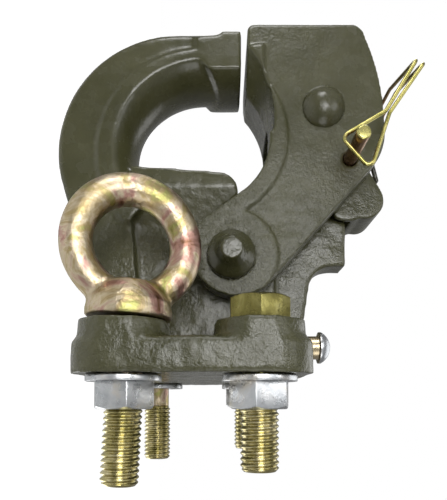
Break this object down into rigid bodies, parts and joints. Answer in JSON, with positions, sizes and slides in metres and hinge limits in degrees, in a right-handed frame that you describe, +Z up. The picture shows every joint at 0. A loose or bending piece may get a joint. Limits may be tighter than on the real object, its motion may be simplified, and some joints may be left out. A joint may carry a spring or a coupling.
{
  "type": "pintle hitch",
  "caption": "Cast tow hook on a square flange with studs, closed by a hinged jaw that a sprung latch and a clipped safety pin lock.",
  "frame": {"origin": "centre of the four studs on the flange's mounting face", "axes": "+X along the studs towards the vehicle, +Z up as mounted, Y across, with the picture's near side at -Y"},
  "size_m": [0.1724, 0.115, 0.1352],
  "materials": {
    "olive_paint": "gloss olive drab paint over cast iron",
    "pin_paint": "gloss olive drab paint over steel",
    "spring_paint": "thin dark olive paint over spring steel",
    "yellow_zinc": "yellow zinc plating with pink and green tints",
    "green_zinc": "yellow-green zinc plating",
    "clip_zinc": "yellow zinc plating on wire",
    "pin_zinc": "bright yellow zinc plating",
    "white_zinc": "bright zinc plating"
  },
  "bodies": {
    "root": {"hook_body": "olive_paint", "jaw_pivot_pin": "pin_paint", "eye_bolt_right": "yellow_zinc", "eye_bolt_left": "yellow_zinc", "hex_bolt_right": "green_zinc", "hex_bolt_left": "green_zinc", "side_screw": "white_zinc", "washer_right_lower": "white_zinc", "washer_right_upper": "white_zinc", "washer_left_lower": "white_zinc", "washer_left_upper": "white_zinc", "nut_right_lower": "white_zinc", "nut_right_upper": "white_zinc", "nut_left_upper": "white_zinc"},
    "jaw": {"jaw": "olive_paint", "latch_pivot_pin": "pin_paint"},
    "latch": {"latch": "olive_paint", "latch_spring": "spring_paint"},
    "safety_pin": {"safety_pin": "pin_zinc", "pin_clip": "clip_zinc"}
  },
  "joints": [
    {"name": "jaw_swing", "type": "hinge", "parent": "root", "child": "jaw", "pos_m": [-0.0457, 0, 0.0134], "axis": [0, 1, 0], "range_deg": [0, 70]},
    {"name": "latch_lift", "type": "hinge", "parent": "jaw", "child": "latch", "pos_m": [-0.102, 0, 0.048], "axis": [0, -1, 0], "range_deg": [0, 30], "deforming": ["latch_spring"]},
    {"name": "safety_pin_turn", "type": "hinge", "parent": "jaw", "child": "safety_pin", "pos_m": [-0.0823, 0, 0.0579], "axis": [0, 1, 0], "range_deg": [0, 100]}
  ]
}
